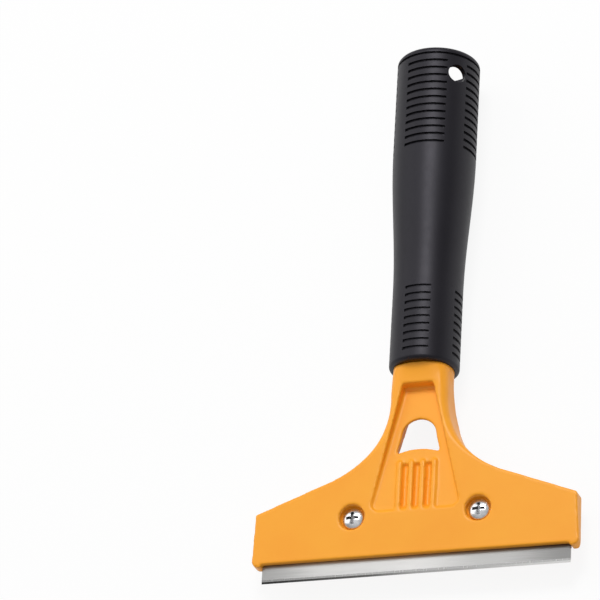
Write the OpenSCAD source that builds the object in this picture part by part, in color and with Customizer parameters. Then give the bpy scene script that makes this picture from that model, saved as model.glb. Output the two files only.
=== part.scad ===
// Blade scraper with a clamped wide blade, a tubular grip and a push-on blade guard.
// Tool frame: X across the blade, Y from the cutting edge to the grip's end, Z out of the face.
// Y = 0 is the cutting edge and Z = 0 is the grip's axis. laid() sets the tool down on its back.

/* [Blade] */
// Length of the blade, across the head
blade_l = 100; // [80:1:130]
// Width of the blade, from its cutting edge to its back
blade_w = 17.6; // [15:0.1:20]
// Thickness of the blade
blade_t = 0.5; // [0.3:0.05:0.8]
// How far the cutting edge stands out of the head
blade_out = 5.85; // [4:0.05:7]
// Width of the ground bevel at the cutting edge
bevel_w = 1.3; // [0.6:0.1:2.5]
// Spacing of the blade's two slots
slot_spacing = 48; // [40:1:56]
// Length of one blade slot
slot_l = 6.6; // [5:0.1:8]
// Width of one blade slot
slot_w = 4.3; // [3.6:0.1:5]

/* [Head] */
// Distance from the cutting edge to the grip's front rim
head_l = 68.5; // [62:0.5:80]
// Thickness of a cheek beside the blade's end
cheek_t = 2.85; // [2:0.05:4]
// Height of the face over the blade at the head's front edge
lip_h = 2.2; // [1.8:0.1:3]
// Depth of the clamp plate under the blade at the head's front edge
plate_front_h = 1.8; // [1.4:0.1:2.6]
// Height of the face over the grip's axis at the neck
neck_face_z = 6.3; // [5.6:0.1:8]
// Radius of the neck that enters the grip
neck_r = 9.6; // [8:0.1:11]
// Radius of the hollow curve between shoulder and neck
shoulder_r = 28; // [22:0.5:30]
// Slope of the shoulder's straight edge
shoulder_angle = 20.7; // [15:0.1:25]
// Height of the pocket floor over the grip's axis
pocket_z = 2.4; // [2.1:0.1:2.9]
// Thickness of the web between the face pocket and the back pocket
web_t = 1.5; // [1.2:0.1:2.4]
// Half width of the face pocket at its lower end
pocket_low_half = 14.2; // [11:0.1:15]
// Half width of the face pocket at the neck
pocket_top_half = 5; // [3:0.1:6]

/* [Window and ribs] */
// Half width of the window at its lower corners
window_half = 7.1; // [5:0.1:8]
// Radius of the window's arch
window_r = 5.6; // [4:0.1:6.5]
// Rise of the window's lower edge in its middle
window_sill = 1.4; // [0.6:0.1:2.5]
// Spacing of the ribs below the window
rib_pitch = 3.75; // [3:0.05:4.5]
// Width of one rib
rib_w = 1.6; // [1:0.1:2.2]
// Height of a rib over the pocket floor
rib_h = 0.8; // [0.5:0.1:1.4]
// Length of the ribs
rib_l = 16.7; // [12:0.1:19]
// Depth of the grooves between the ribs
rib_groove = 0.5; // [0.2:0.1:1]

/* [Screws] */
// Spacing of the two clamp screws
screw_spacing = 41; // [36:0.5:48]
// Radius of a screw's thread
thread_r = 1.5; // [1.25:0.05:2]
// Radius of a screw's head
screw_head_r = 3.4; // [2.8:0.05:3.6]
// Height of a screw's head
screw_head_h = 1.8; // [1.6:0.05:2]
// Radius of the sunk seat round a screw's head
sink_r = 4.15; // [3.9:0.05:4.4]
// Height of the seat's floor over the blade
seat_z = 0.7; // [0.6:0.1:0.9]
// Width of a nut across its flats
nut_af = 5.5; // [5:0.1:6.5]
// Thickness of a nut
nut_t = 1.9; // [1.6:0.1:2.1]

/* [Grip] */
// Length of the grip
grip_l = 110; // [98:1:140]
// Radius of the grip behind its front rim
grip_front_r = 11.2; // [10:0.05:12.5]
// Radius of the grip at its rear half
grip_rear_r = 13.4; // [12.6:0.1:15]
// Rounding of the front rim
front_round = 1.3; // [0.5:0.1:1.4]
// Rounding of the rear rim
rear_round = 1.5; // [0.5:0.1:1.6]
// Number of slots in each rear field
rear_rows = 12; // [6:1:14]
// Number of slots in each front field
front_rows = 9; // [4:1:9]
// Spacing of the grip's slots
row_pitch = 2.67; // [2:0.01:2.75]
// Width of one grip slot
row_w = 0.6; // [0.4:0.05:1]
// Depth of one grip slot
row_depth = 0.8; // [0.4:0.05:1]
// Angle that a slot of the rear fields covers round the grip
rear_row_angle = 60; // [40:1:62]
// Angle that a slot of the front fields covers round the grip
front_row_angle = 47; // [30:1:62]
// Radius of the hang hole
hang_r = 3.1; // [2:0.1:3.2]
// Distance from the grip's end to the hang hole
hang_from_end = 9; // [7:0.1:14]
// Length of the head's stem inside the grip
stem_l = 92; // [60:1:92]
// Wall of the grip round its hollow end
end_wall = 2; // [1.5:0.1:3]

/* [Guard] */
// Wall of the guard
guard_wall = 1.5; // [1:0.1:2]
// How far the guard covers the blade and head from the cutting edge
guard_cover = 14.5; // [12:0.1:15]
// Length of the guard's tongue past its mouth
tongue_l = 10; // [7:0.1:11]
// Half width of the tongue at its root
tongue_root_half = 26; // [24:0.5:30]
// Half width of the tongue at its end
tongue_end_half = 19.5; // [14:0.5:22]
// How far in front of the tool the guard lies when it is off
guard_off = 48; // [44:1:80]

/* [Clamp] */
// Opening of the clamp when its screws are loosened
clamp_open = 1; // [0.6:0.1:1.1]

/* [Hidden] */
$fn = 64;
over = 0.5;            // overrun of every cut
fit = 0.05;            // running clearance of shank, nut and stem
play = 0.15;           // clearance round the blade
gap = 0.3;             // gap beside the clamp plate and its pegs

// Blade and parting plane
half_blade = blade_l / 2;
part_z = -blade_t;     // top of the clamp plate
edge_land = 0.06;      // thickness left at the cutting edge

// Head outline
head_half = half_blade + play + cheek_t;
cheek_in = 0.8;        // the head's outer edges draw in by this at the shoulders
cheek_drop = 0.85;     // the cheeks reach this far past the front edge
side_past_blade = 4.7; // the sides end this far behind the blade's back
side_end = blade_w + side_past_blade;
corner_r = 2;
shoulder_half = head_half - cheek_in;
neck_inset = 0.2;      // flats beside and over the neck stay inside its radius
neck_half = neck_r - neck_inset;
collar_l = 4.2;        // level neck between the sloping face and the grip
flat_in_grip = 1;      // the neck stays flat on top this far into the grip
neck_y = head_l - collar_l;
face_slope = (neck_face_z - lip_h) / (neck_y - blade_out);
plate_edge = blade_out - cheek_drop;
back_slope = (neck_half - blade_t - plate_front_h) / (neck_y - plate_edge);
plate_past_blade = 9.4;
plate_end = blade_w + plate_past_blade;
flare_l = 16;          // the trimmed corners widen to this far in front of the neck
flare_rise = 5.2;      // by this much, along a parabola
flare_steps = 12;
plate_half = half_blade + play - gap;
plate_wall = 2.4;      // wall of the head behind the plate's slanted corners
plate_corner = side_end + (shoulder_half - plate_half) * tan(shoulder_angle) - plate_wall / cos(shoulder_angle);
side_draft = 0.4;      // the cheeks draw in by this per length below the blade
back_pocket_low = plate_end + gap + plate_wall;

// Screws, seats and nuts
screw_y = blade_w + thread_r + fit + play;
bore_r = thread_r + play + fit;
shank_end = part_z - plate_front_h - (screw_y - plate_edge) * back_slope + fit;
recess_l = 4;          // driver cross in a screw's head
recess_w = 0.95;
recess_d = 1.2;
head_dome = 0.75;      // height of the domed part of a screw's head
dome_share = 2;        // radius of that dome over the head's radius

// Locating pegs on the clamp plate
peg_share = 1.8;       // height of a peg over the blade's thickness
peg_h = peg_share * blade_t;
peg_y = blade_w / 2;

// Pocket, window and ribs
pocket_past_screw = 1.2; // the pocket's lower edge lies this far behind the screws' middle
pocket_low = screw_y + pocket_past_screw;
pocket_to_collar = 2;    // the pockets end this far in front of the level neck
pocket_top = neck_y - pocket_to_collar;
pocket_r = 2.5;
rib_end = pocket_low + rib_l - rib_w / 2;
rib_to_window = 3.4;
window_low = rib_end + rib_to_window;
window_straight = 6;     // height of the window's straight sides
arch_y = window_low + window_straight;
groove_start = 0.9;      // the grooves begin this far inside the pocket

// Grip
grip_end = head_l + grip_l;
blend_from_share = 0.25;
blend_to_share = 0.7;
blend_from = head_l + blend_from_share * grip_l;
blend_to = head_l + blend_to_share * grip_l;
blend_steps = 14;
rear_row_inset = 4.93;
rear_row_y = grip_end - rear_row_inset;
front_row_inset = 4.04;
front_row_y = head_l + front_row_inset;
ring_inset = 2.4;
ring_y = grip_end - ring_inset;
ring_w = 0.8;
ring_d = 0.7;
stem_y = head_l + flat_in_grip;
stem_end = head_l + stem_l;
stem_bevel = 1.5;

// Guard, in its fitted place
guard_half = head_half;
guard_front = -1.7;    // inner end in front of the cutting edge
guard_clear = 0.4;
tip_up = 0.5;          // room over the cutting edge at the guard's inner end
tip_down = -part_z + clamp_open + tip_up;
tongue_r = 4;
bar_r = 1.1;
bar_half = 13;
bar_from_end = 3.6;

// Lying pose: the front rim and the grip's swell touch the surface
touch_share = 0.833;
touch_y = blend_from + touch_share * (blend_to - blend_from);
lay = atan((grip_r(touch_y) - grip_front_r) / (touch_y - head_l - front_round));
lift = grip_front_r * cos(lay) - (head_l + front_round) * sin(lay);
back_y = (grip_end - rear_round) * cos(lay) + (grip_rear_r - rear_round) * sin(lay) + rear_round;
guard_low = guard_in_low(guard_cover) - guard_wall;
guard_drop = guard_low * cos(lay) + guard_cover * sin(lay) + lift;
tip_y = guard_front - guard_wall;
front_y = tip_y * cos(lay) - guard_off;
mid_y = (back_y + front_y) / 2;

// Heights of the head's face and back, and of the guard's inside
function face_z(y) = lip_h + (y - blade_out) * face_slope;
function back_z(y) = part_z - plate_front_h - (y - plate_edge) * back_slope;
function guard_in_top(y) = face_z(y) + guard_clear;
function guard_in_low(y) = back_z(guard_cover) - clamp_open - guard_clear + (guard_cover - y) * tan(lay);

// Outer radius of the grip: two straight stretches and a smooth swell between them
function swell(y) = min(1, max(0, (y - blend_from) / (blend_to - blend_from)));
function grip_r(y) = grip_front_r + (grip_rear_r - grip_front_r) * (1 - cos(180 * swell(y))) / 2;
function blend_y(i) = blend_from + i * (blend_to - blend_from) / blend_steps;

// Sets the whole tool on its back, centred over the origin
module laid() {
    translate([0, -mid_y, lift]) rotate([lay, 0, 0]) children();
}

// Turns a shape round Z into one round the tool's Y axis
module along_y() {
    rotate([-90, 0, 0]) children();
}

// Extrudes a side profile, drawn as (y, z), to both sides of the middle
module across(half) {
    rotate([90, 0, 90]) translate([0, 0, -half]) linear_extrude(2 * half) children();
}

// A bar with round ends, seen from above
module stadium(length, width, height) {
    side = length - width;
    translate([-side / 2, -width / 2, 0]) cube([side, width, height]);
    for (s = [-1, 1]) translate([s * side / 2, 0, 0]) cylinder(r = width / 2, h = height);
}

module at_screws() {
    for (s = [-1, 1]) translate([s * screw_spacing / 2, screw_y, 0]) children();
}

// Outline of the head seen on its face: cheeks, sloping shoulders and hollow curves to the neck
module head_outline() {
    tan_x = neck_half + shoulder_r - shoulder_r * sin(shoulder_angle);
    tan_y = side_end + (shoulder_half - tan_x) * tan(shoulder_angle);
    arc_x = neck_half + shoulder_r;
    arc_y = tan_y + shoulder_r * cos(shoulder_angle);
    difference() {
        polygon([
            [-head_half + corner_r, plate_edge], [head_half - corner_r, plate_edge],
            [head_half, plate_edge + corner_r], [shoulder_half, side_end],
            [tan_x, tan_y], [neck_half, arc_y], [neck_half, neck_y + over],
            [-neck_half, neck_y + over], [-neck_half, arc_y], [-tan_x, tan_y],
            [-shoulder_half, side_end], [-head_half, plate_edge + corner_r],
        ]);
        for (s = [-1, 1]) translate([s * arc_x, arc_y]) circle(r = shoulder_r, $fn = 128);
    }
    for (s = [-1, 1]) translate([s * (head_half - corner_r), plate_edge + corner_r]) circle(r = corner_r);
}

// Side view of the head, from its front edge to the round neck
module head_side() {
    front = plate_edge - over;
    polygon([
        [front, back_z(front)], [neck_y, back_z(neck_y)], [neck_y, face_z(neck_y)], [front, face_z(front)],
    ]);
}

// Front view of the head: its sides draw in below the blade
module head_front() {
    low_half = head_half - side_draft * (neck_r + part_z);
    translate([0, neck_y, 0]) rotate([90, 0, 0]) linear_extrude(neck_y - plate_edge + over) polygon([
        [-head_half, part_z], [-low_half, -neck_r], [low_half, -neck_r],
        [head_half, part_z], [head_half, neck_r], [-head_half, neck_r],
    ]);
}

// Keeps the wide part whole and trims the corners where the head turns into the round neck
module neck_trim() {
    flare_y = neck_y - flare_l;
    half = head_half + over;
    wide = neck_r + over;
    translate([-half, plate_edge - over, -wide]) cube([2 * half, flare_y - plate_edge + over, 2 * wide]);
    along_y() rotate_extrude($fn = 128) polygon(concat(
        [[0, neck_y], [0, flare_y - over]],
        [for (i = [0:flare_steps]) [neck_r + flare_rise * pow(1 - i / flare_steps, 2), flare_y + i * flare_l / flare_steps]]
    ));
}

// Outline of the clamp plate, or with a gap round it, of its room in the head
module plate_outline(extra) {
    half = plate_half + extra;
    corner = plate_corner + extra;
    end = plate_end + extra;
    end_half = half - (end - corner) / tan(shoulder_angle);
    front = extra > 0 ? plate_edge - over : plate_edge;
    polygon([
        [-half, front], [half, front], [half, corner], [end_half, end], [-end_half, end], [-half, corner],
    ]);
}

// Pocket in the back of the neck, opposite the one in its face
module back_pocket() {
    edge = pocket_top_half + (pocket_low_half - pocket_top_half) * (pocket_top - back_pocket_low) / (pocket_top - pocket_low);
    translate([0, 0, -neck_r - over]) linear_extrude(neck_r + over + pocket_z - web_t) polygon([
        [-edge, back_pocket_low], [edge, back_pocket_low],
        [pocket_top_half, pocket_top], [-pocket_top_half, pocket_top],
    ]);
}

module face_pocket() {
    low = pocket_low + pocket_r;
    edge = pocket_low_half - pocket_r;
    translate([0, 0, pocket_z]) linear_extrude(neck_r) {
        polygon([
            [-edge, pocket_low], [edge, pocket_low], [pocket_low_half, low],
            [pocket_top_half, pocket_top], [-pocket_top_half, pocket_top], [-pocket_low_half, low],
        ]);
        for (s = [-1, 1]) translate([s * edge, low]) circle(r = pocket_r);
    }
}

module window() {
    sill_r = (pow(window_half, 2) + pow(window_sill, 2)) / (2 * window_sill);
    translate([0, 0, -neck_r]) linear_extrude(2 * neck_r) difference() {
        union() {
            polygon([
                [-window_half, window_low], [window_half, window_low],
                [window_r, arch_y], [-window_r, arch_y],
            ]);
            translate([0, arch_y]) circle(r = window_r);
        }
        translate([0, window_low + window_sill - sill_r]) circle(r = sill_r, $fn = 128);
    }
}

// Grooves between the ribs, a little deeper than the pocket
module rib_grooves() {
    width = rib_pitch - rib_w;
    for (i = [-1:1]) translate([i * rib_pitch - width / 2, pocket_low + groove_start, pocket_z - rib_groove])
        cube([width, rib_end - pocket_low - groove_start, rib_groove + over]);
}

module ribs() {
    for (i = [-1.5:1.5]) translate([i * rib_pitch, 0, pocket_z - over]) {
        translate([-rib_w / 2, pocket_low - over, 0]) cube([rib_w, rib_end - pocket_low + over, rib_h + over]);
        translate([0, rib_end, 0]) cylinder(r = rib_w / 2, h = rib_h + over);
    }
}

// Upper jaw, neck and stem: one yellow moulding
module head_body() {
    color("#f5a53a") laid() difference() {
        union() {
            difference() {
                intersection() {
                    translate([0, 0, -neck_r]) linear_extrude(2 * neck_r) head_outline();
                    across(head_half + over) head_side();
                    head_front();
                    neck_trim();
                }
                face_pocket();
                rib_grooves();
                back_pocket();
            }
            intersection() {
                ribs();
                face_pocket_room();
            }
            intersection() {
                translate([0, neck_y, 0]) along_y() cylinder(r = neck_r, h = stem_y - neck_y);
                across(neck_r + over) polygon([
                    [neck_y - over, -neck_r - over], [stem_y + over, -neck_r - over],
                    [stem_y + over, neck_face_z], [neck_y - over, neck_face_z],
                ]);
            }
            translate([0, stem_y, 0]) along_y() cylinder(r = neck_r, h = stem_end - stem_bevel - stem_y);
            translate([0, stem_end - stem_bevel, 0]) along_y()
                cylinder(r1 = neck_r, r2 = neck_r - stem_bevel, h = stem_bevel);
        }
        window();
        // room of the clamp plate, between the cheeks
        translate([0, 0, -neck_r - over]) linear_extrude(neck_r + over + part_z) plate_outline(gap);
        // seat of the blade, open to the front and closed behind its back
        translate([-half_blade - play, plate_edge - over, part_z - over])
            cube([blade_l + 2 * play, blade_w + play - plate_edge + over, blade_t + over]);
        // straight front edge between the cheeks
        translate([-half_blade - play, plate_edge - over, part_z - over])
            cube([blade_l + 2 * play, blade_out - plate_edge + over, neck_r]);
        for (s = [-1, 1]) translate([s * slot_spacing / 2, peg_y, -over])
            stadium(slot_l + gap, slot_w + gap, peg_h - blade_t + gap + over);
        at_screws() {
            translate([0, 0, part_z - over]) cylinder(r = bore_r, h = neck_r);
            translate([0, 0, seat_z]) cylinder(r = sink_r, h = neck_r);
        }
    }
}

// Room inside the pocket that a rib may fill, up to the face
module face_pocket_room() {
    across(pocket_low_half) polygon([
        [pocket_low - over, pocket_z - over], [rib_end + rib_w, pocket_z - over],
        [rib_end + rib_w, face_z(rib_end)], [pocket_low - over, face_z(pocket_low - over)],
    ]);
}

// Lower jaw that the two screws pull against the blade
module clamp_plate() {
    color("#f5a53a") laid() difference() {
        union() {
            intersection() {
                translate([0, 0, back_z(plate_end)]) linear_extrude(part_z - back_z(plate_end)) plate_outline(0);
                across(head_half + over) polygon([
                    [plate_edge - over, part_z], [plate_end, part_z],
                    [plate_end, back_z(plate_end)], [plate_edge - over, back_z(plate_edge - over)],
                ]);
            }
            for (s = [-1, 1]) translate([s * slot_spacing / 2, peg_y, part_z - over])
                stadium(slot_l - gap, slot_w - gap, peg_h + over);
        }
        at_screws() {
            translate([0, 0, back_z(plate_end) - over]) cylinder(r = bore_r, h = neck_r);
            translate([0, 0, shank_end - over])
                cylinder(r = nut_af / sqrt(3) + fit, h = nut_t + over, $fn = 6);
        }
    }
}

// Blade with a ground bevel on both faces of its edge and two round-ended slots
module blade() {
    color("#b9bdc2") laid() difference() {
        across(half_blade) polygon([
            [0, (part_z - edge_land) / 2], [bevel_w, part_z], [blade_w, part_z],
            [blade_w, 0], [bevel_w, 0], [0, (part_z + edge_land) / 2],
        ]);
        for (s = [-1, 1]) translate([s * slot_spacing / 2, peg_y, part_z - over])
            stadium(slot_l, slot_w, blade_t + 2 * over);
    }
}

// Pan head with a driver cross, on a plain shank as thick as its thread
module screw() {
    top = seat_z + screw_head_h;
    dome_r = dome_share * screw_head_r;
    difference() {
        intersection() {
            translate([0, 0, seat_z]) cylinder(r = screw_head_r, h = screw_head_h);
            translate([0, 0, top - dome_r]) sphere(r = dome_r, $fn = 64);
        }
        for (a = [0, 90]) rotate(a) translate([-recess_l / 2, -recess_w / 2, top - recess_d])
            cube([recess_l, recess_w, recess_d + over]);
    }
    translate([0, 0, shank_end]) cylinder(r = thread_r, h = seat_z - shank_end);
}

module screw_left() {
    color("#c9ccd0") laid() translate([-screw_spacing / 2, screw_y, 0]) screw();
}

module screw_right() {
    color("#c9ccd0") laid() translate([screw_spacing / 2, screw_y, 0]) screw();
}

// Hexagonal nut that lies in a pocket in the back of the clamp plate
module nut() {
    difference() {
        cylinder(r = nut_af / sqrt(3), h = nut_t, $fn = 6);
        translate([0, 0, -over]) cylinder(r = thread_r + fit, h = nut_t + 2 * over);
    }
}

module nut_left() {
    color("#a9adb2") laid() translate([-screw_spacing / 2, screw_y, shank_end]) nut();
}

module nut_right() {
    color("#a9adb2") laid() translate([screw_spacing / 2, screw_y, shank_end]) nut();
}

// Half section of the grip as (radius, distance along the tool)
module grip_section() {
    polygon(concat(
        [[neck_r + fit, head_l], [grip_front_r - front_round, head_l], [grip_front_r, head_l + front_round]],
        [for (i = [0:blend_steps]) [grip_r(blend_y(i)), blend_y(i)]],
        [[grip_rear_r, grip_end - rear_round], [grip_rear_r - rear_round, grip_end],
         [grip_rear_r - end_wall, grip_end], [grip_rear_r - end_wall, stem_end], [neck_r + fit, stem_end]]
    ));
    translate([grip_front_r - front_round, head_l + front_round]) circle(r = front_round);
}

// Four fields of slots round the grip: rings at the height of every row, trimmed to the fields
module row_fields(last_y, rows, angle) {
    edge = (grip_rear_r + over) * sqrt(2);
    intersection() {
        along_y() for (i = [0:rows - 1]) row_ring(last_y - i * row_pitch);
        translate([0, head_l, 0]) along_y() for (a = [0:90:270]) rotate(a) linear_extrude(grip_l) polygon([
            [0, 0], [edge * cos(angle / 2), -edge * sin(angle / 2)],
            [edge * cos(angle / 2), edge * sin(angle / 2)],
        ]);
    }
}

module row_ring(y) {
    depth_r = grip_r(y) - row_depth;
    translate([0, 0, y - row_w / 2]) difference() {
        cylinder(r = grip_rear_r + over, h = row_w);
        translate([0, 0, -over]) cylinder(r = depth_r, h = row_w + 2 * over);
    }
}

// Tubular grip, open at its end, with four fields of slots and a hang hole between two of them
module grip() {
    color("#2f2f33") laid() difference() {
        along_y() rotate_extrude($fn = 128) grip_section();
        row_fields(rear_row_y, rear_rows, rear_row_angle);
        row_fields(front_row_y + (front_rows - 1) * row_pitch, front_rows, front_row_angle);
        translate([0, ring_y - ring_w / 2, 0]) along_y() difference() {
            cylinder(r = grip_rear_r + over, h = ring_w);
            translate([0, 0, -over]) cylinder(r = grip_rear_r - ring_d, h = ring_w + 2 * over);
        }
        translate([0, grip_end - hang_from_end, 0]) rotate([0, 45, 0])
            cylinder(r = hang_r, h = 2 * (grip_rear_r + over), center = true);
    }
}

// Side view of the guard: a folded channel, thin at the edge and open to the head
module guard_side(top_end) {
    in_top = [guard_front, tip_up];
    in_low = [guard_front, -tip_down];
    polygon([
        in_top, [blade_out - guard_clear, guard_in_top(blade_out)], [top_end, guard_in_top(top_end)],
        [top_end, guard_in_top(top_end) + guard_wall], [blade_out - guard_wall, guard_in_top(blade_out) + guard_wall],
        [tip_y, tip_up + guard_wall / 2], [tip_y, -tip_down - guard_wall / 2],
        [plate_edge - guard_wall, guard_in_low(plate_edge) - guard_wall], [guard_cover, guard_in_low(guard_cover) - guard_wall],
        [guard_cover, guard_in_low(guard_cover)], [plate_edge - guard_clear, guard_in_low(plate_edge)], in_low,
    ]);
}

// Guard pushed on: a channel as long as the blade, and a tongue over the screws with a thumb bar
module guard_fitted() {
    tongue_end = guard_cover + tongue_l;
    bar_y = tongue_end - bar_from_end;
    across(guard_half) guard_side(guard_cover);
    intersection() {
        across(tongue_root_half) guard_side(tongue_end);
        linear_extrude(2 * neck_r) {
            polygon([
                [-tongue_root_half, guard_cover - over], [tongue_root_half, guard_cover - over],
                [tongue_end_half, tongue_end - tongue_r], [tongue_end_half - tongue_r, tongue_end],
                [-tongue_end_half + tongue_r, tongue_end], [-tongue_end_half, tongue_end - tongue_r],
            ]);
            for (s = [-1, 1]) translate([s * (tongue_end_half - tongue_r), tongue_end - tongue_r])
                circle(r = tongue_r);
        }
    }
    translate([0, bar_y, guard_in_top(bar_y) + guard_wall - fit]) {
        rotate([0, 90, 0]) cylinder(r = bar_r, h = 2 * bar_half, center = true);
        for (s = [-1, 1]) translate([s * bar_half, 0, 0]) sphere(r = bar_r);
    }
}

// Guard taken off: it lies on the same surface, in front of the cutting edge
module blade_guard() {
    color("#4b4b50") translate([0, -guard_off, -guard_drop]) laid() guard_fitted();
}

head_body();
clamp_plate();
blade();
screw_left();
screw_right();
nut_left();
nut_right();
grip();
blade_guard();
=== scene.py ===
import math

import bpy
from mathutils import Matrix, Vector


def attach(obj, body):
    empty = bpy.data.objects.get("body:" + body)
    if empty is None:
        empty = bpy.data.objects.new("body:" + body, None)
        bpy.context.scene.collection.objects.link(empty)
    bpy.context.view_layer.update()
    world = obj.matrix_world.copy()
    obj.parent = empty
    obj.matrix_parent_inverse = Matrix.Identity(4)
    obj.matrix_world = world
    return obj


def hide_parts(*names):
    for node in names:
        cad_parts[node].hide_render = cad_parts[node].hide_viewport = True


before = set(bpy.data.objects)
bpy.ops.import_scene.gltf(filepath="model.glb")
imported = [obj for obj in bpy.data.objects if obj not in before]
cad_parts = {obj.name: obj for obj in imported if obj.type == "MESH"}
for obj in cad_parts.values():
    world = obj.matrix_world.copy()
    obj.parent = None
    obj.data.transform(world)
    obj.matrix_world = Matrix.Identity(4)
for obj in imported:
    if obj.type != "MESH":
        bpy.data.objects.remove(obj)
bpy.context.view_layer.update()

# Yellow head.
# One moulding of glossy yellow-orange ABS, from the front edge to the stem that is pressed into the
# grip. Pocket, window, ribs and screw seats are moulded in, and the mould leaves every edge round.
WHITE = (1.0, 1.0, 1.0, 1.0)
YELLOW = (0.96, 0.39, 0.022, 1.0)
YELLOW_DEEP = (0.945, 0.36, 0.018, 1.0)
SKIN_SOCKETS = (
    ("Color", "INPUT", "NodeSocketColor"),
    ("Shadow Color", "INPUT", "NodeSocketColor"),
    ("Gloss", "INPUT", "NodeSocketFloat"),
    ("Color", "OUTPUT", "NodeSocketColor"),
    ("Roughness", "OUTPUT", "NodeSocketFloat"),
    ("Height", "OUTPUT", "NodeSocketFloat"),
)
SPECK_HEIGHT = 0.25
GRAIN_DEPTH = 0.00003


def tune(node, **values):
    """Sets a node's properties and inputs by name, and hands the node back."""
    for key, value in values.items():
        if hasattr(node, key):
            setattr(node, key, value)
        else:
            node.inputs[key.replace("_", " ")].default_value = value
    return node


def add(tree, kind, **values):
    """A new node of that kind, with its values set."""
    return tune(tree.nodes.new(kind), **values)


def wire(tree, *joins):
    """Links an output of one node to an input of another, for each of the joins."""
    for source, output, target, socket in joins:
        tree.links.new(source.outputs[output], target.inputs[socket])


def new_material(name, **finish):
    """A material with one Principled shader, whose own sockets hold the given finish."""
    material = bpy.data.materials.new(name)
    material.use_nodes = True
    tree = material.node_tree
    return material, tree, tune(tree.nodes["Principled BSDF"], **finish)


plastic_skin = bpy.data.node_groups.new("moulded_skin", "ShaderNodeTree")
for socket, direction, kind in SKIN_SOCKETS:
    plastic_skin.interface.new_socket(socket, in_out=direction, socket_type=kind)
skin_in = plastic_skin.nodes.new("NodeGroupInput")
skin_out = plastic_skin.nodes.new("NodeGroupOutput")
on_piece = add(plastic_skin, "ShaderNodeTexCoord")
flow = add(plastic_skin, "ShaderNodeTexNoise", Scale=55.0, Detail=3.0, Roughness=0.55)
grain = add(plastic_skin, "ShaderNodeTexNoise", Scale=2600.0, Detail=2.0, Roughness=0.5)
specks = add(plastic_skin, "ShaderNodeTexNoise", Scale=420.0, Detail=4.0, Roughness=0.6)
flow_tint = add(plastic_skin, "ShaderNodeMapRange", From_Min=0.35, From_Max=0.75)
mixed = add(plastic_skin, "ShaderNodeMix", data_type="RGBA")
unevenness = add(plastic_skin, "ShaderNodeMapRange", To_Min=-0.04, To_Max=0.06)
uneven_gloss = add(plastic_skin, "ShaderNodeMath", operation="ADD")
skin_height = add(plastic_skin, "ShaderNodeMath", operation="MULTIPLY_ADD")
skin_height.inputs[1].default_value = SPECK_HEIGHT
wire(
    plastic_skin,
    (on_piece, "Object", flow, "Vector"),
    (on_piece, "Object", grain, "Vector"),
    (on_piece, "Object", specks, "Vector"),
    (flow, "Fac", flow_tint, "Value"),
    (flow_tint, "Result", mixed, "Factor"),
    (skin_in, "Color", mixed, "A"),
    (skin_in, "Shadow Color", mixed, "B"),
    (specks, "Fac", unevenness, "Value"),
    (unevenness, "Result", uneven_gloss, 0),
    (skin_in, "Gloss", uneven_gloss, 1),
    (specks, "Fac", skin_height, 0),
    (grain, "Fac", skin_height, 2),
    (mixed, "Result", skin_out, "Color"),
    (uneven_gloss, "Value", skin_out, "Roughness"),
    (skin_height, "Value", skin_out, "Height"),
)


def moulded(name, color, deep, gloss, bump, shine, shine_tint=WHITE):
    """Moulded plastic with a faint flow tint, a fine grain and uneven gloss."""
    material, tree, shader = new_material(name, Specular_IOR_Level=shine, Specular_Tint=shine_tint)
    skin = add(tree, "ShaderNodeGroup", node_tree=plastic_skin)
    tune(skin, Color=color, Shadow_Color=deep, Gloss=gloss)
    dents = add(tree, "ShaderNodeBump", Strength=bump, Distance=GRAIN_DEPTH)
    wire(
        tree,
        (skin, "Color", shader, "Base Color"),
        (skin, "Roughness", shader, "Roughness"),
        (skin, "Height", dents, "Height"),
        (dents, "Normal", shader, "Normal"),
    )
    return material


WELD = 2e-6
FLAT_WITHIN = math.radians(0.5)
EDGE_FROM = math.radians(28)
SMOOTH_BELOW = math.radians(30)


def pick(piece):
    """Selects a piece alone, and makes it the active one."""
    bpy.ops.object.select_all(action="DESELECT")
    bpy.context.view_layer.objects.active = piece
    piece.select_set(True)


def shape(piece, kind, **settings):
    """Gives the active piece a modifier with its settings, and applies it."""
    modifier = piece.modifiers.new(kind.lower(), kind)
    for setting, value in settings.items():
        setattr(modifier, setting, value)
    bpy.ops.object.modifier_apply(modifier=modifier.name)


def soften(node, name, width=0.0, segments=0):
    """A bare copy of a CAD node's shape, welded, its edges rounded where a width is given."""
    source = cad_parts[node]
    piece = source.copy()
    piece.data = source.data.copy()
    piece.parent = None
    piece.name = piece.data.name = name
    bpy.context.collection.objects.link(piece)
    pick(piece)
    piece.matrix_world = Matrix.Identity(4)
    bpy.ops.object.mode_set(mode="EDIT")
    bpy.ops.mesh.select_all(action="SELECT")
    bpy.ops.mesh.remove_doubles(threshold=WELD)
    bpy.ops.mesh.dissolve_limited(angle_limit=FLAT_WITHIN)
    bpy.ops.object.mode_set(mode="OBJECT")
    if width:
        shape(piece, "BEVEL", width=width, segments=segments, limit_method="ANGLE",
              angle_limit=EDGE_FROM, use_clamp_overlap=True, miter_outer="MITER_ARC")
    bpy.ops.object.shade_smooth_by_angle(angle=SMOOTH_BELOW)
    shape(piece, "WEIGHTED_NORMAL", keep_sharp=True, weight=100)
    piece.data.materials.clear()
    return piece


# The tool lies on its back, tipped a little. What is new is drawn along the tool's own axis, with the
# cutting edge at 0, and then laid down as the tool lies.
LIE_ANGLE = math.radians(1.7430152)
LIE_PLACE = (0.0, -0.063790771, 0.009071735)
LIE = Matrix.Translation(LIE_PLACE) @ Matrix.Rotation(LIE_ANGLE, 4, "X")
UPRIGHT = LIE.inverted()
ROUND_SIDES = 96


def lying_y(along, up=0.0):
    """Y of a place on the lying tool, from how far along and above its own axis it is."""
    return LIE_PLACE[1] + along * math.cos(LIE_ANGLE) - up * math.sin(LIE_ANGLE)


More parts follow.
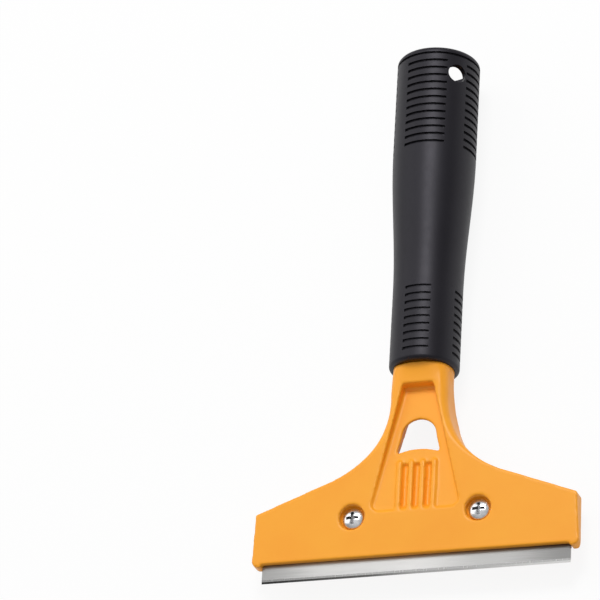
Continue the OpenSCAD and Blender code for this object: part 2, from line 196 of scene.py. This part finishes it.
def lay_down(piece):
    """Turns a piece drawn along the tool's own axis to where the tool lies."""
    pick(piece)
    piece.matrix_world = LIE
    bpy.ops.object.transform_apply(location=True, rotation=True, scale=True)


def start_ring(radius, along, fill):
    """A ring round the tool's own axis, left in edit mode to be drawn out."""
    bpy.ops.object.select_all(action="DESELECT")
    bpy.ops.mesh.primitive_circle_add(vertices=ROUND_SIDES, radius=radius, fill_type=fill,
                                      location=(0, along, 0), rotation=(math.pi / 2, 0, 0))
    ring = bpy.context.object
    bpy.ops.object.transform_apply(location=True, rotation=True, scale=True)
    bpy.ops.object.mode_set(mode="EDIT")
    bpy.ops.mesh.select_all(action="SELECT")
    return ring


def draw_out(length):
    """Extrudes what is selected along the tool's own axis."""
    bpy.ops.mesh.extrude_region_move(TRANSFORM_OT_translate={"value": (0, length, 0)})


def cut_away(piece, cutter):
    """Cuts the shape of a cutter out of a piece, and throws the cutter away."""
    pick(piece)
    shape(piece, "BOOLEAN", operation="DIFFERENCE", solver="EXACT", object=cutter)
    bpy.data.objects.remove(cutter)


def melt(piece, skin_size, passes, keep_share, changes=()):
    """Joins all that a moulding is made of into one skin, and melts every edge of it round."""
    pick(piece)
    shape(piece, "REMESH", mode="VOXEL", voxel_size=skin_size, use_smooth_shade=True)
    for change in changes:
        change(piece)
    shape(piece, "SMOOTH", factor=0.5, iterations=passes)
    shape(piece, "DECIMATE", ratio=keep_share)
    bpy.ops.object.shade_smooth()


def fit(piece, node, body):
    """Lets a piece stand for a CAD node, on that node's body."""
    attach(piece, body)
    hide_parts(node)


FACE_AT_LIP = (0.00585, 0.0022)
FACE_SLOPE = 0.07015
NECK_HALF = 0.0094
NECK_ROUND = 0.003
NECK_ROUND_FROM = 0.027
NECK_ROUND_FULL = 0.046
NECK_ROW = 0.0005
COLLAR_FROM = 0.054
COLLAR_TO = 0.0686
COLLAR_STEPS = 18
COLLAR_RISE = 0.0017
COLLAR_RISE_CURVE = 4
COLLAR_SQUARENESS = 9.0
COLLAR_ROUNDING = 6.4
COLLAR_ROUNDING_CURVE = 0.7
POCKET_END_MIDDLE = 0.05215
POCKET_END_SIZE = (0.01, 0.0203, 0.04)
POCKET_WIDE_AT = 0.023
POCKET_WIDE_HALF = 0.0142
POCKET_TAPER = 0.2341
RIB_PITCH = 0.00375
GROOVE_ENDS = (0.0214, 0.0364)
GROOVE_FLOOR = 0.0019
GROOVE_HALF = 0.001
GROOVE_SINK = 0.0006
FLOOR_NEAR = 0.0002
STEM_FROM = 0.0695
STEM_NEAR = 0.0004
STEM_FLAT = 0.005


def collar_share(along):
    """How far a place along the neck is from the collar's start to its end, from 0 to 1."""
    return min(1.0, max(0.0, (along - COLLAR_FROM) / (COLLAR_TO - COLLAR_FROM)))


def neck_top(along):
    """Height of the neck's face at a place along it."""
    flat = FACE_AT_LIP[1] + (along - FACE_AT_LIP[0]) * FACE_SLOPE
    return flat + COLLAR_RISE * collar_share(along) ** COLLAR_RISE_CURVE


def round_neck(piece):
    """Rounds the outer edges of the neck's face wider and wider from the shoulders to the grip."""
    spots = [UPRIGHT @ point.co for point in piece.data.vertices]
    half_widths = {}
    for spot in spots:
        if spot.z > 0:
            row = round(spot.y / NECK_ROW)
            half_widths[row] = max(half_widths.get(row, 0.0), abs(spot.x))
    for point, spot in zip(piece.data.vertices, spots):
        if not NECK_ROUND_FROM < spot.y < COLLAR_TO:
            continue
        share = min(1.0, (spot.y - NECK_ROUND_FROM) / (NECK_ROUND_FULL - NECK_ROUND_FROM))
        radius = NECK_ROUND * share * share * (3 - 2 * share)
        row = math.floor(spot.y / NECK_ROW)
        past_row = spot.y / NECK_ROW - row
        half_width = half_widths[row] * (1 - past_row) + half_widths[row + 1] * past_row
        side = abs(spot.x) - half_width + radius
        up = spot.z - neck_top(spot.y) + radius
        reach = math.hypot(side, up)
        if side > 0 and up > 0 and reach > radius:
            spot.x = math.copysign(half_width - radius + side * radius / reach, spot.x)
            spot.z = neck_top(spot.y) - radius + up * radius / reach
            point.co = LIE @ spot


def deepen_grooves(piece):
    """Sinks the floors of the three grooves between the ribs."""
    for point in piece.data.vertices:
        spot = UPRIGHT @ point.co
        in_length = GROOVE_ENDS[0] < spot.y < GROOVE_ENDS[1]
        in_width = any(abs(spot.x - middle) < GROOVE_HALF for middle in (-RIB_PITCH, 0.0, RIB_PITCH))
        if in_length and in_width and abs(spot.z - GROOVE_FLOOR) < FLOOR_NEAR:
            spot.z -= GROOVE_SINK
            point.co = LIE @ spot


yellow = moulded("yellow_moulding", YELLOW, YELLOW_DEEP, gloss=0.40, bump=0.12, shine=0.35)
head = soften("head_body", "head_moulding")

# The neck turns from a flat face into a round collar where it meets the grip. The narrow end of the
# pocket stays open in it.
collar = start_ring(NECK_HALF, COLLAR_FROM, "NGON")
for step in range(COLLAR_STEPS):
    draw_out((COLLAR_TO - COLLAR_FROM) / COLLAR_STEPS)
bpy.ops.mesh.select_all(action="SELECT")
bpy.ops.mesh.normals_make_consistent(inside=False)
bpy.ops.object.mode_set(mode="OBJECT")
for point in collar.data.vertices:
    rounding = COLLAR_ROUNDING * collar_share(point.co.y) ** COLLAR_ROUNDING_CURVE
    bulge = 2 / (COLLAR_SQUARENESS - rounding)
    if point.co.z > 0:
        point.co.z = neck_top(point.co.y) * (point.co.z / NECK_HALF) ** bulge
        point.co.x = math.copysign(NECK_HALF * (abs(point.co.x) / NECK_HALF) ** bulge, point.co.x)
bpy.ops.object.select_all(action="DESELECT")
bpy.ops.mesh.primitive_cube_add(size=1, location=(0, POCKET_END_MIDDLE, 0), scale=POCKET_END_SIZE)
pocket_end = bpy.context.object
bpy.ops.object.transform_apply(location=True, rotation=True, scale=True)
for point in pocket_end.data.vertices:
    half = POCKET_WIDE_HALF - (point.co.y - POCKET_WIDE_AT) * POCKET_TAPER
    point.co.x = math.copysign(half, point.co.x)
cut_away(collar, pocket_end)
lay_down(collar)

# The flat of the neck runs on into the grip, clear of its rim.
for point in head.data.vertices:
    if abs(point.co.y - lying_y(STEM_FROM)) < STEM_NEAR:
        point.co += Vector((0, STEM_FLAT * math.cos(LIE_ANGLE), STEM_FLAT * math.sin(LIE_ANGLE)))
pick(head)
collar.select_set(True)
bpy.ops.object.join()
melt(head, skin_size=0.00037, passes=9, keep_share=0.36, changes=(round_neck, deepen_grooves))
head.data.materials.append(yellow)
fit(head, "head_body", "tool")

# Clamp plate.
# The lower jaw, moulded in the same yellow plastic. The two screws pull it up under the blade, its
# pegs keep the blade in place, and its pockets keep the nuts from turning.
jaw = soften("clamp_plate", "lower_jaw")
melt(jaw, skin_size=0.0004, passes=6, keep_share=0.5)
jaw.data.materials.append(yellow)
fit(jaw, "clamp_plate", "jaw")

# Blade.
# A strip of hardened steel with faces brushed along it and a ground edge that is honed at its tip. It
# lies on the pegs of the clamp plate, clamped under the head.
BLADE_HALF = 0.05
GROUND_TO = 0.0013
HONED_TO = 0.00065
EDGE_NEAR = 0.0001
SCRATCH_DEPTH = 0.00001
GLOSS_SPREAD = 0.08
ALONG_BLADE = (60.0, 2600.0, 2600.0)
ACROSS_EDGE = (2600.0, 90.0, 90.0)
# The tones below are painted reflection along the blade, from its left end to its right. The face is
# lighter a little left of the middle and darker at both ends. The ground and honed edge are dark at the
# left and bright at the right.
FACE_PAINTED_SHEEN = ((0.0, 0.31), (0.22, 0.51), (0.48, 0.54), (0.75, 0.355), (1.0, 0.17))
GROUND_PAINTED_SHEEN = ((0.0, 0.38), (0.4, 0.60), (1.0, 0.62))
HONED_PAINTED_SHEEN = ((0.0, 0.045), (0.3, 0.13), (0.55, 0.50), (1.0, 0.85))


def tone_ramp(tree, stops, interpolation="LINEAR"):
    """A ramp with a colour at each of its stops."""
    ramp_node = add(tree, "ShaderNodeValToRGB")
    ramp = ramp_node.color_ramp
    for position, _ in stops[1:-1]:
        ramp.elements.new(position)
    for element, (position, color) in zip(ramp.elements, stops):
        element.position = position
        element.color = color
    ramp.interpolation = interpolation
    return ramp_node


def brushed(name, stretch, painted_sheen, gloss, streaks):
    """Brushed steel with a painted reflection: its tone changes along the blade as a lamp's sheen would,
    and wanders a little with the marks.
    """
    material, tree, shader = new_material(name, Metallic=1.0)
    on_blade = add(tree, "ShaderNodeTexCoord")
    stretched = add(tree, "ShaderNodeMapping", Scale=stretch)
    marks = add(tree, "ShaderNodeTexNoise", Scale=1.0, Detail=3.0, Roughness=0.6)
    split = add(tree, "ShaderNodeSeparateXYZ")
    from_left = add(tree, "ShaderNodeMapRange", From_Min=-BLADE_HALF, From_Max=BLADE_HALF)
    wander = add(tree, "ShaderNodeMath", operation="MULTIPLY_ADD")
    wander.inputs[1].default_value = streaks
    centred = add(tree, "ShaderNodeMath", operation="SUBTRACT")
    centred.inputs[1].default_value = streaks / 2
    stops = [(position, (grey, grey * 0.995, grey * 0.98, 1.0)) for position, grey in painted_sheen]
    # This ramp paints the lamps' reflection along the blade into the steel's colour.
    tone = tone_ramp(tree, stops, "EASE")
    uneven = add(tree, "ShaderNodeMapRange", To_Min=gloss - GLOSS_SPREAD, To_Max=gloss + GLOSS_SPREAD)
    scratches = add(tree, "ShaderNodeBump", Strength=0.15, Distance=SCRATCH_DEPTH)
    wire(
        tree,
        (on_blade, "Object", stretched, "Vector"),
        (on_blade, "Object", split, "Vector"),
        (stretched, "Vector", marks, "Vector"),
        (split, "X", from_left, "Value"),
        (marks, "Fac", wander, 0),
        (from_left, "Result", wander, 2),
        (wander, "Value", centred, 0),
        (centred, "Value", tone, "Fac"),
        (tone, "Color", shader, "Base Color"),
        (marks, "Fac", uneven, "Value"),
        (uneven, "Result", shader, "Roughness"),
        (marks, "Fac", scratches, "Height"),
        (scratches, "Normal", shader, "Normal"),
    )
    return material


# Each of these materials paints a reflection of the lamps along the blade as a tone ramp.
steel = brushed("blade_steel", ALONG_BLADE, FACE_PAINTED_SHEEN, gloss=0.34, streaks=0.12)
ground = brushed("blade_ground_edge_painted_sheen", ACROSS_EDGE, GROUND_PAINTED_SHEEN, gloss=0.25, streaks=0.06)
honed = brushed("blade_honed_edge_painted_sheen", ACROSS_EDGE, HONED_PAINTED_SHEEN, gloss=0.22, streaks=0.05)
strip = soften("blade", "blade_strip")
bpy.ops.object.mode_set(mode="EDIT")
bpy.ops.mesh.select_all(action="SELECT")
bpy.ops.mesh.bisect(plane_co=(0, lying_y(HONED_TO), 0), plane_no=(0, 1, 0))
bpy.ops.object.mode_set(mode="OBJECT")
for finish in (steel, ground, honed):
    strip.data.materials.append(finish)
for face in strip.data.polygons:
    if face.center.y > lying_y(GROUND_TO) - EDGE_NEAR:
        face.material_index = 0
    elif face.center.y > lying_y(HONED_TO):
        face.material_index = 1
    else:
        face.material_index = 2
fit(strip, "blade", "jaw")

# Screws and nuts.
# Two zinc-plated pan head screws with a cross recess go through head and clamp plate, just behind the
# blade, into hexagonal nuts that sit in the clamp plate.
SCREW_FROM_MIDDLE = 0.0205
SCREW_Y = lying_y(0.0193, 0.0025)
CROSS_REACH = 0.0021
CROSS_FROM = 0.0105
CROSS_FLOOR_BELOW = 0.0112
CROSS_TO = 0.0130
STEEP = 0.5
METAL_EDGE = 0.0001


def speckled_zinc(name, speck_scale, dull, bright, **finish):
    """Zinc plating that is brighter in some specks than in others."""
    material, tree, shader = new_material(name, **finish)
    on_screw = add(tree, "ShaderNodeTexCoord")
    zinc_specks = add(tree, "ShaderNodeTexNoise", Scale=speck_scale, Detail=3.0, Roughness=0.6)
    tone = tone_ramp(tree, ((0.3, dull), (0.7, bright)))
    wire(
        tree,
        (on_screw, "Object", zinc_specks, "Vector"),
        (zinc_specks, "Fac", tone, "Fac"),
        (tone, "Color", shader, "Base Color"),
    )
    return material, tree, shader, zinc_specks


def dress(node, name, material, body, width, segments):
    """A CAD node's shape with rounded edges, in its own material."""
    piece = soften(node, name, width, segments)
    piece.data.materials.append(material)
    fit(piece, node, body)


zinc, tree, shader, zinc_specks = speckled_zinc(
    "screw_zinc", 900.0, (0.62, 0.63, 0.65, 1.0), (0.86, 0.865, 0.88, 1.0), Metallic=1.0)
zinc_gloss = add(tree, "ShaderNodeMapRange", To_Min=0.16, To_Max=0.28)
wire(tree, (zinc_specks, "Fac", zinc_gloss, "Value"), (zinc_gloss, "Result", shader, "Roughness"))
# The cross recess gets its own darker, duller zinc: painted shade in the recess.
painted_shade_zinc = speckled_zinc(
    "screw_cross_painted_shade", 1400.0, (0.11, 0.11, 0.115, 1.0), (0.30, 0.30, 0.31, 1.0),
    Metallic=0.8, Roughness=0.35)[0]
for side, sign in (("left", -1), ("right", 1)):
    screw = soften("screw_" + side, "pan_head_" + side, METAL_EDGE, 2)
    for finish in (zinc, painted_shade_zinc):
        screw.data.materials.append(finish)
    # Faces on the walls and floor of the cross recess take the darker zinc, as painted shade.
    for face in screw.data.polygons:
        from_axis = math.hypot(face.center.x - sign * SCREW_FROM_MIDDLE, face.center.y - SCREW_Y)
        in_cross = from_axis < CROSS_REACH and CROSS_FROM < face.center.z < CROSS_TO
        is_wall = abs(face.normal.z) < STEEP
        face.material_index = int(in_cross and (is_wall or face.center.z < CROSS_FLOOR_BELOW))
    fit(screw, "screw_" + side, side + "_screw")
    dress("nut_" + side, "hex_nut_" + side, zinc, "jaw", METAL_EDGE, 2)

# Grip.
# A tube of black satin plastic, slim in front and full at the rear, pressed over the head's stem. It
# has fields of slots at both ends, a groove and a hollow at the rear, and a cross hole to hang it by.
GRIP_BLACK = (0.0040, 0.0036, 0.0058, 1.0)
GRIP_BLACK_DEEP = (0.0060, 0.0056, 0.0084, 1.0)
GRIP_SHINE_TINT = (0.93, 0.90, 1.0, 1.0)
GRIP_FRONT = 0.0685
GRIP_END = 0.1785
FRONT_R = 0.0112
REAR_R = 0.0134
BORE_R = 0.00965
HOLLOW_R = 0.0114
HOLLOW_FROM = 0.1605
SWELL_FROM = 0.0960
SWELL_TO = 0.1455
SWELL_RINGS = [SWELL_FROM + i * 0.0027 for i in range(18)]
FRONT_ROUND = 0.0013
REAR_ROUND = 0.0015
ROUND_TURNS = [math.radians(turn) for turn in range(0, 91, 15)]
SLOT_PITCH = 0.00267
SLOT_HALF = 0.0005
SLOT_NEAR = 0.0001
SLOT_FLOOR_SHARE = 0.942
FRONT_SLOTS = [0.07234 + i * SLOT_PITCH for i in range(9)]
REAR_SLOTS = [0.17337 - i * SLOT_PITCH for i in range(11, -1, -1)]
FRONT_FIELD_HALF = 22.5
REAR_FIELD_HALF = 30
WALL_NEAR = 0.0004
END_GROOVE = (0.1757, 0.1765)
END_GROOVE_R = REAR_R - 0.0007
HANG_HOLE_AT = 0.1695
HANG_HOLE_R = 0.0031
HANG_HOLE_LENGTH = 0.032
HANG_HOLE_SIDES = 48
RIM_WIDTH = 0.00009


def grip_r(along):
    """Outer radius of the grip: slim in front, a smooth swell, and full at the rear."""
    share = min(1.0, max(0.0, (along - SWELL_FROM) / (SWELL_TO - SWELL_FROM)))
    return FRONT_R + (REAR_R - FRONT_R) * (1 - math.cos(math.pi * share)) / 2


def on_slot(along, slots):
    """Whether a place along the grip is in the middle of one of the slots."""
    return any(abs(along - slot) < SLOT_NEAR for slot in slots)


def in_slot(middle):
    """Whether the middle of a face lies on the grip's outside, where a slot is."""
    quarter = math.degrees(math.atan2(middle.z, middle.x)) % 90
    from_field = min(quarter, 90 - quarter)
    in_front = from_field < FRONT_FIELD_HALF and on_slot(middle.y, FRONT_SLOTS)
    in_rear = from_field < REAR_FIELD_HALF and on_slot(middle.y, REAR_SLOTS)
    on_outside = math.hypot(middle.x, middle.z) > grip_r(middle.y) - WALL_NEAR
    return (in_front or in_rear) and on_outside


# The section of the tube's wall, as places along it with their radius: from the bore's front edge over
# the outside to the rear, and back through the hollow and the bore.
rings = [(GRIP_FRONT, BORE_R)]
for angle in ROUND_TURNS:
    along = GRIP_FRONT + FRONT_ROUND * (1 - math.cos(angle))
    rings.append((along, FRONT_R - FRONT_ROUND * (1 - math.sin(angle))))
for slot in FRONT_SLOTS:
    rings += [(slot - SLOT_HALF, FRONT_R), (slot + SLOT_HALF, FRONT_R)]
rings += [(along, grip_r(along)) for along in SWELL_RINGS]
for slot in REAR_SLOTS:
    rings += [(along, grip_r(along)) for along in (slot - SLOT_HALF, slot + SLOT_HALF)]
rings += [(END_GROOVE[0], REAR_R), (END_GROOVE[0], END_GROOVE_R)]
rings += [(END_GROOVE[1], END_GROOVE_R), (END_GROOVE[1], REAR_R)]
for angle in ROUND_TURNS:
    along = GRIP_END - REAR_ROUND * (1 - math.sin(angle))
    rings.append((along, REAR_R - REAR_ROUND * (1 - math.cos(angle))))
rings += [(GRIP_END, HOLLOW_R), (HOLLOW_FROM, HOLLOW_R), (HOLLOW_FROM, BORE_R), (GRIP_FRONT, BORE_R)]

sleeve = start_ring(BORE_R, GRIP_FRONT, "NOTHING")
sleeve.name = sleeve.data.name = "grip_sleeve"
for (y0, r0), (y1, r1) in zip(rings, rings[1:]):
    draw_out(y1 - y0)
    bpy.ops.transform.resize(value=(r1 / r0, 1, r1 / r0), center_override=(0, y1, 0))
bpy.ops.mesh.select_all(action="SELECT")
bpy.ops.mesh.remove_doubles(threshold=WELD)
bpy.ops.mesh.normals_make_consistent(inside=False)
bpy.ops.mesh.select_mode(type="FACE")
bpy.ops.mesh.select_all(action="DESELECT")
bpy.ops.object.mode_set(mode="OBJECT")
for face in sleeve.data.polygons:
    face.select = in_slot(face.center)
bpy.ops.object.mode_set(mode="EDIT")
bpy.ops.mesh.extrude_region_move()
bpy.ops.transform.resize(value=(SLOT_FLOOR_SHARE, 1, SLOT_FLOOR_SHARE), center_override=(0, 0, 0))
bpy.ops.object.mode_set(mode="OBJECT")
bpy.ops.object.select_all(action="DESELECT")
bpy.ops.mesh.primitive_cylinder_add(vertices=HANG_HOLE_SIDES, radius=HANG_HOLE_R, depth=HANG_HOLE_LENGTH,
                                    location=(0, HANG_HOLE_AT, 0), rotation=(0, math.pi / 4, 0))
cut_away(sleeve, bpy.context.object)
shape(sleeve, "BEVEL", width=RIM_WIDTH, segments=2, limit_method="ANGLE", angle_limit=math.radians(30))
lay_down(sleeve)
bpy.ops.object.shade_smooth_by_angle(angle=math.radians(50))
shape(sleeve, "WEIGHTED_NORMAL", keep_sharp=True)
black = moulded("grip_plastic", GRIP_BLACK, GRIP_BLACK_DEEP, gloss=0.46, bump=0.3, shine=0.36,
                shine_tint=GRIP_SHINE_TINT)
sleeve.data.materials.append(black)
fit(sleeve, "grip", "tool")

# Blade guard.
# A folded channel of dark grey plastic that is pushed over the blade and the front of the head. Here
# it is taken off and lies in front of the tool.
GUARD_GREY = (0.030, 0.029, 0.034, 1.0)
GUARD_GREY_DEEP = (0.040, 0.039, 0.044, 1.0)
GUARD_SHINE_TINT = (0.95, 0.92, 1.0, 1.0)
GUARD_EDGE = 0.0004
dark_grey = moulded("guard_plastic", GUARD_GREY, GUARD_GREY_DEEP, gloss=0.42, bump=0.3, shine=0.4,
                    shine_tint=GUARD_SHINE_TINT)
dress("blade_guard", "guard_moulding", dark_grey, "guard", GUARD_EDGE, 3)

# Floor, light and camera.
# A white studio floor that shows as plain white but keeps the tool's shadow, a sky that is bright at
# the horizon, dim above it and lighter overhead, and two softboxes.
FLOOR_GLOW = 0.9
SKY_TONES = ((0.0, 0.85), (0.35, 0.27), (0.75, 0.38), (1.0, 0.74))
bpy.ops.object.select_all(action="DESELECT")
bpy.ops.mesh.primitive_plane_add(size=6.0, location=(0, 0, 0))
floor = bpy.context.object
floor.name = "floor"
white, tree, shader = new_material(
    "floor_white", Base_Color=(0.86, 0.86, 0.86, 1.0), Roughness=0.9, Specular_IOR_Level=0.1)
ray = add(tree, "ShaderNodeLightPath")
seen_or_mirrored = add(tree, "ShaderNodeMath", operation="MAXIMUM")
seen_at_all = add(tree, "ShaderNodeMath", operation="MAXIMUM")
glow_share = add(tree, "ShaderNodeMath", operation="MULTIPLY")
glow_share.inputs[1].default_value = FLOOR_GLOW
glow = add(tree, "ShaderNodeEmission", Color=WHITE, Strength=1.0)
blend = add(tree, "ShaderNodeMixShader")
wire(
    tree,
    (ray, "Is Camera Ray", seen_or_mirrored, 0),
    (ray, "Is Glossy Ray", seen_or_mirrored, 1),
    (seen_or_mirrored, "Value", seen_at_all, 0),
    (ray, "Is Transmission Ray", seen_at_all, 1),
    (seen_at_all, "Value", glow_share, 0),
    (glow_share, "Value", blend, "Fac"),
    (shader, "BSDF", blend, 1),
    (glow, "Emission", blend, 2),
    (blend, "Shader", tree.nodes["Material Output"], "Surface"),
)
floor.data.materials.append(white)

world = bpy.data.worlds.new("studio")
bpy.context.scene.world = world
world.use_nodes = True
background = tune(world.node_tree.nodes["Background"], Strength=1.0)
sky_way = add(world.node_tree, "ShaderNodeTexCoord")
sky_split = add(world.node_tree, "ShaderNodeSeparateXYZ")
sky = tone_ramp(world.node_tree, [(up, (grey, grey, grey, 1.0)) for up, grey in SKY_TONES])
wire(
    world.node_tree,
    (sky_way, "Generated", sky_split, "Vector"),
    (sky_split, "Z", sky, "Fac"),
    (sky, "Color", background, "Color"),
)


def softbox(name, place, size, power):
    """A square studio lamp, turned towards the middle of the object."""
    bpy.ops.object.light_add(type="AREA", location=place)
    lamp = bpy.context.object
    lamp.name = name
    lamp.data.size = size
    lamp.data.energy = power
    lamp.rotation_euler = (-Vector(place)).to_track_quat("-Z", "Y").to_euler()


softbox("key", (-0.95, 0.45, 0.85), size=1.1, power=4.6)
softbox("top", (0.12, 0.58, 1.15), size=0.42, power=8.5)

bpy.ops.object.camera_add()
camera = bpy.context.object
camera.name = "camera"
camera.location = (0.425403, -0.667049, 1.301551)
camera.rotation_euler = [math.radians(turn) for turn in (28.3468, 18.0147, 3.9243)]
camera.data.sensor_width = 36.0
camera.data.lens = 288.0
camera.data.clip_start = 0.05
camera.data.clip_end = 20.0
bpy.context.scene.camera = camera
bpy.context.scene.view_settings.view_transform = "Standard"
